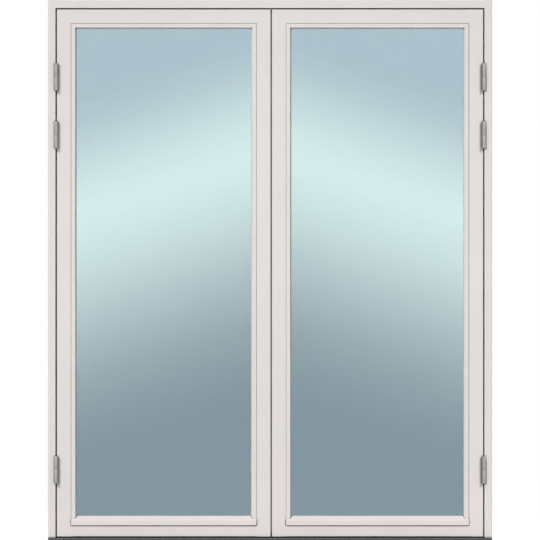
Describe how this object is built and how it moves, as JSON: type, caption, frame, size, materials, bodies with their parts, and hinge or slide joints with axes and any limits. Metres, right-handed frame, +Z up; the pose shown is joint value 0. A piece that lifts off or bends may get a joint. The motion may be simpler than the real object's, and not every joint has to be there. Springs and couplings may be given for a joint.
{
  "type": "pair of glazed french doors with frame",
  "caption": "Double glazed outward-opening timber french doors in their rebated frame, with lift-off hinges, drip sill beads and a metal threshold.",
  "frame": {"origin": "middle of the threshold's flat underside, at half of the frame's depth", "axes": "+X to the right as seen from outside, -Y outside, +Y room side, +Z up"},
  "size_m": [1.78, 0.133, 2.18],
  "materials": {
    "painted_timber": "warm white opaque paint, satin",
    "hinge_steel": "zinc plated, satin",
    "screw_steel": "zinc plated",
    "threshold_metal": "dark grey anodised",
    "threshold_timber": "oiled hardwood",
    "seal_rubber": "matt black",
    "glazing_tape": "matt black foam",
    "setting_block": "moulded, dark",
    "glass": "clear float glass, blue grey cast",
    "spacer_bar": "mill, satin",
    "lock_steel": "zinc plated",
    "handle_metal": "brushed, satin"
  },
  "bodies": {
    "frame": {"left_jamb": "painted_timber", "right_jamb": "painted_timber", "head": "painted_timber", "threshold_core": "threshold_timber", "threshold_cover": "threshold_metal", "frame_seal": "seal_rubber", "frame_hinge_left_low": "hinge_steel", "frame_hinge_left_second": "hinge_steel", "frame_hinge_left_top": "hinge_steel", "frame_hinge_right_low": "hinge_steel", "frame_hinge_right_second": "hinge_steel", "frame_hinge_right_top": "hinge_steel", "hinge_pins": "hinge_steel", "frame_hinge_screws": "screw_steel", "fixing_sleeves": "screw_steel", "strike_plates": "lock_steel"},
    "left_leaf": {"left_hinge_stile": "painted_timber", "left_meeting_stile": "painted_timber", "left_top_rail": "painted_timber", "left_bottom_rail": "painted_timber", "left_outer_pane": "glass", "left_inner_pane": "glass", "left_spacer_bar": "spacer_bar", "left_setting_blocks": "setting_block", "left_hinge_side_bead": "painted_timber", "left_meeting_side_bead": "painted_timber", "left_top_bead": "painted_timber", "left_sill_bead": "painted_timber", "left_glazing_tape": "glazing_tape", "leaf_hinge_left_low": "hinge_steel", "leaf_hinge_left_second": "hinge_steel", "leaf_hinge_left_top": "hinge_steel", "left_hinge_screws": "screw_steel", "meeting_seal": "seal_rubber", "lock_case": "lock_steel", "lock_faceplate": "lock_steel", "handle_plate": "handle_metal"},
    "right_leaf": {"right_hinge_stile": "painted_timber", "right_meeting_stile": "painted_timber", "right_top_rail": "painted_timber", "right_bottom_rail": "painted_timber", "right_outer_pane": "glass", "right_inner_pane": "glass", "right_spacer_bar": "spacer_bar", "right_setting_blocks": "setting_block", "right_hinge_side_bead": "painted_timber", "right_meeting_side_bead": "painted_timber", "right_top_bead": "painted_timber", "right_sill_bead": "painted_timber", "right_glazing_tape": "glazing_tape", "leaf_hinge_right_low": "hinge_steel", "leaf_hinge_right_second": "hinge_steel", "leaf_hinge_right_top": "hinge_steel", "right_hinge_screws": "screw_steel", "flush_bolt_plates": "lock_steel"},
    "handle": {"lever_handle": "handle_metal"},
    "upper_rod": {"upper_rod": "lock_steel"},
    "lower_rod": {"lower_rod": "lock_steel"},
    "top_bolt": {"top_flush_bolt": "lock_steel"},
    "bottom_bolt": {"bottom_flush_bolt": "lock_steel"}
  },
  "joints": [
    {"name": "left_leaf_swing", "type": "hinge", "parent": "frame", "child": "left_leaf", "pos_m": [-0.857, -0.066, 1.09], "axis": [0, 0, -1], "range_deg": [0, 180]},
    {"name": "right_leaf_swing", "type": "hinge", "parent": "frame", "child": "right_leaf", "pos_m": [0.857, -0.066, 1.09], "axis": [0, 0, 1], "range_deg": [0, 180]},
    {"name": "handle_turn", "type": "hinge", "parent": "left_leaf", "child": "handle", "pos_m": [-0.02725, 0, 1.05], "axis": [0, 1, 0], "range_deg": [0, 90]},
    {"name": "upper_rod_slide", "type": "slide", "parent": "left_leaf", "child": "upper_rod", "axis": [0, 0, 1], "range_m": [0, 0.02]},
    {"name": "lower_rod_slide", "type": "slide", "parent": "left_leaf", "child": "lower_rod", "axis": [0, 0, -1], "range_m": [0, 0.02]},
    {"name": "top_bolt_slide", "type": "slide", "parent": "right_leaf", "child": "top_bolt", "axis": [0, 0, 1], "range_m": [0, 0.02]},
    {"name": "bottom_bolt_slide", "type": "slide", "parent": "right_leaf", "child": "bottom_bolt", "axis": [0, 0, -1], "range_m": [0, 0.02]}
  ],
  "couplings": [
    {"joint": "upper_rod_slide", "follows": "handle_turn", "m_per_rad": 0.012732},
    {"joint": "lower_rod_slide", "follows": "handle_turn", "m_per_rad": 0.012732}
  ]
}
